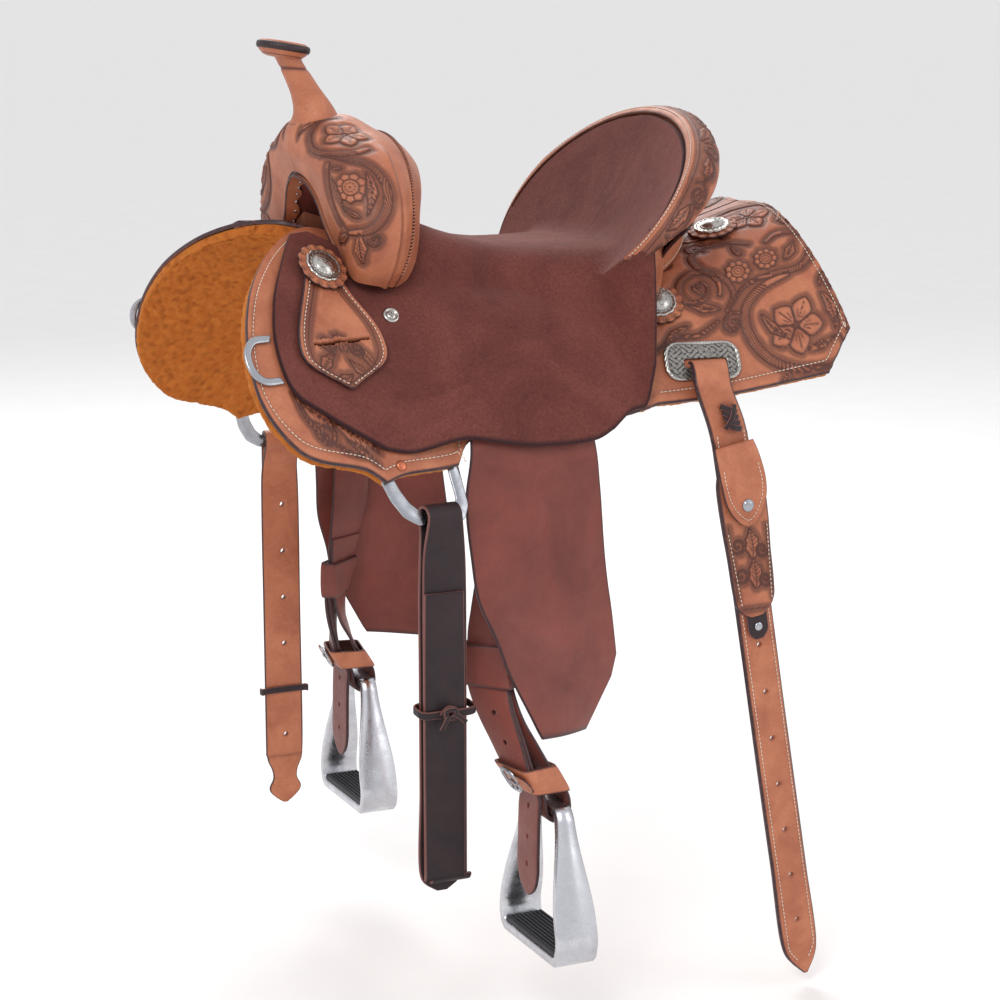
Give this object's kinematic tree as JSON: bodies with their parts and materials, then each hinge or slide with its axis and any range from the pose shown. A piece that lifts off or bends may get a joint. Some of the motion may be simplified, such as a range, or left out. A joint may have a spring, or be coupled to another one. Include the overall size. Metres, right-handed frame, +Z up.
{
  "type": "western saddle",
  "caption": "Barrel-racing western saddle with horn, tooled leather swell, deep rough-out seat, fenders, aluminium stirrups, rigging and billets.",
  "frame": {"origin": "on the centre plane, under the middle of the bounding box, level with the tips of the flank billets, which are the lowest points", "axes": "+Z up, -X towards the horn (front of the horse), -Y the near (left) side of the horse"},
  "size_m": [0.6647, 0.65, 0.999],
  "materials": {
    "tan_leather": "satin, tooled",
    "roughout_leather": "rough-out, matt",
    "fender_leather": "waxed",
    "latigo_leather": "waxed",
    "wool_lining": "short fleece",
    "rawhide_tree": "rawhide-covered",
    "steel": "satin",
    "silver": "engraved, antiqued",
    "aluminium": "polished",
    "rubber": "ribbed",
    "copper": "burnished"
  },
  "bodies": {
    "saddle": {"skirt_near": "tan_leather", "skirt_off": "tan_leather", "fleece_near": "wool_lining", "fleece_off": "wool_lining", "rigging_plate_near": "steel", "rigging_plate_off": "steel", "rigging_rivet_near": "copper", "rigging_rivet_off": "copper", "breast_dee_near": "steel", "breast_dee_off": "steel", "tree_bar_near": "rawhide_tree", "tree_bar_off": "rawhide_tree", "front_rosette_near": "tan_leather", "front_rosette_off": "tan_leather", "front_concho_near": "silver", "front_concho_off": "silver", "rear_rosette_near": "tan_leather", "rear_rosette_off": "tan_leather", "rear_concho_near": "silver", "rear_concho_off": "silver", "top_rosette_near": "tan_leather", "top_rosette_off": "tan_leather", "top_concho_near": "silver", "top_concho_off": "silver", "flank_plate_near": "silver", "flank_plate_off": "silver", "leather_top_near": "fender_leather", "leather_top_off": "fender_leather", "swell_cover": "tan_leather", "tree_fork": "rawhide_tree", "horn_wrap": "tan_leather", "horn_core": "steel", "horn_cap": "tan_leather", "seat_leather": "roughout_leather", "cantle_roll": "tan_leather", "cantle_back": "tan_leather", "tree_cantle": "rawhide_tree"},
    "leathers_near": {"fender_near": "fender_leather", "stirrup_leather_near": "fender_leather", "leather_sleeve_near": "fender_leather", "hobble_strap_near": "tan_leather", "hobble_buckle_near": "steel"},
    "leathers_off": {"fender_off": "fender_leather", "stirrup_leather_off": "fender_leather", "leather_sleeve_off": "fender_leather", "hobble_strap_off": "tan_leather", "hobble_buckle_off": "steel"},
    "stirrup_foot_near": {"stirrup_near": "aluminium", "stirrup_tread_near": "rubber"},
    "stirrup_foot_off": {"stirrup_off": "aluminium", "stirrup_tread_off": "rubber"},
    "keeper_near": {"latigo_keeper_near": "tan_leather"},
    "keeper_off": {"latigo_keeper_off": "tan_leather"},
    "flank_billet_near": {"flank_billet_near": "tan_leather", "sheath": "tan_leather"},
    "flank_billet_off": {"flank_billet_off": "tan_leather"},
    "sheath_flap": {"sheath_flap": "tan_leather"},
    "latigo": {"latigo": "latigo_leather"},
    "off_billet": {"off_billet": "tan_leather"}
  },
  "joints": [
    {"name": "leathers_near_lift", "type": "hinge", "parent": "saddle", "child": "leathers_near", "pos_m": [-0.043, -0.205, 0.6044], "axis": [-1, 0, 0], "range_deg": [0, 90]},
    {"name": "stirrup_near_pivot", "type": "hinge", "parent": "leathers_near", "child": "stirrup_foot_near", "pos_m": [-0.049, -0.256, 0.2564], "axis": [0, -1, 0], "range_deg": [-35, 45]},
    {"name": "keeper_near_turn", "type": "hinge", "parent": "saddle", "child": "keeper_near", "pos_m": [-0.23, -0.113, 0.7771], "axis": [0.239, -0.6941, 0.6791], "range_deg": [-4, 4]},
    {"name": "flank_billet_near_lift", "type": "hinge", "parent": "saddle", "child": "flank_billet_near", "pos_m": [0.1642, -0.1818, 0.6736], "axis": [-0.9865, 0.1639, 0], "range_deg": [0, 50]},
    {"name": "leathers_off_lift", "type": "hinge", "parent": "saddle", "child": "leathers_off", "pos_m": [-0.043, 0.205, 0.6044], "axis": [1, 0, 0], "range_deg": [0, 90]},
    {"name": "stirrup_off_pivot", "type": "hinge", "parent": "leathers_off", "child": "stirrup_foot_off", "pos_m": [-0.049, 0.256, 0.2564], "axis": [0, -1, 0], "range_deg": [-25, 45]},
    {"name": "keeper_off_turn", "type": "hinge", "parent": "saddle", "child": "keeper_off", "pos_m": [-0.23, 0.113, 0.7771], "axis": [0.239, 0.6941, 0.6791], "range_deg": [-4, 4]},
    {"name": "flank_billet_off_lift", "type": "hinge", "parent": "saddle", "child": "flank_billet_off", "pos_m": [0.1642, 0.1818, 0.6736], "axis": [0.9865, 0.1639, 0], "range_deg": [0, 50]},
    {"name": "latigo_lift", "type": "hinge", "parent": "saddle", "child": "latigo", "pos_m": [-0.1511, -0.2244, 0.5499], "axis": [-0.9917, -0.129, 0], "range_deg": [-5, 35]},
    {"name": "off_billet_lift", "type": "hinge", "parent": "saddle", "child": "off_billet", "pos_m": [-0.1511, 0.2244, 0.5499], "axis": [0.9917, -0.129, 0], "range_deg": [-5, 35]},
    {"name": "sheath_flap_lift", "type": "hinge", "parent": "flank_billet_near", "child": "sheath_flap", "pos_m": [0.1805, -0.2128, 0.5924], "axis": [-0.9848, 0, -0.174], "range_deg": [0, 120]}
  ]
}
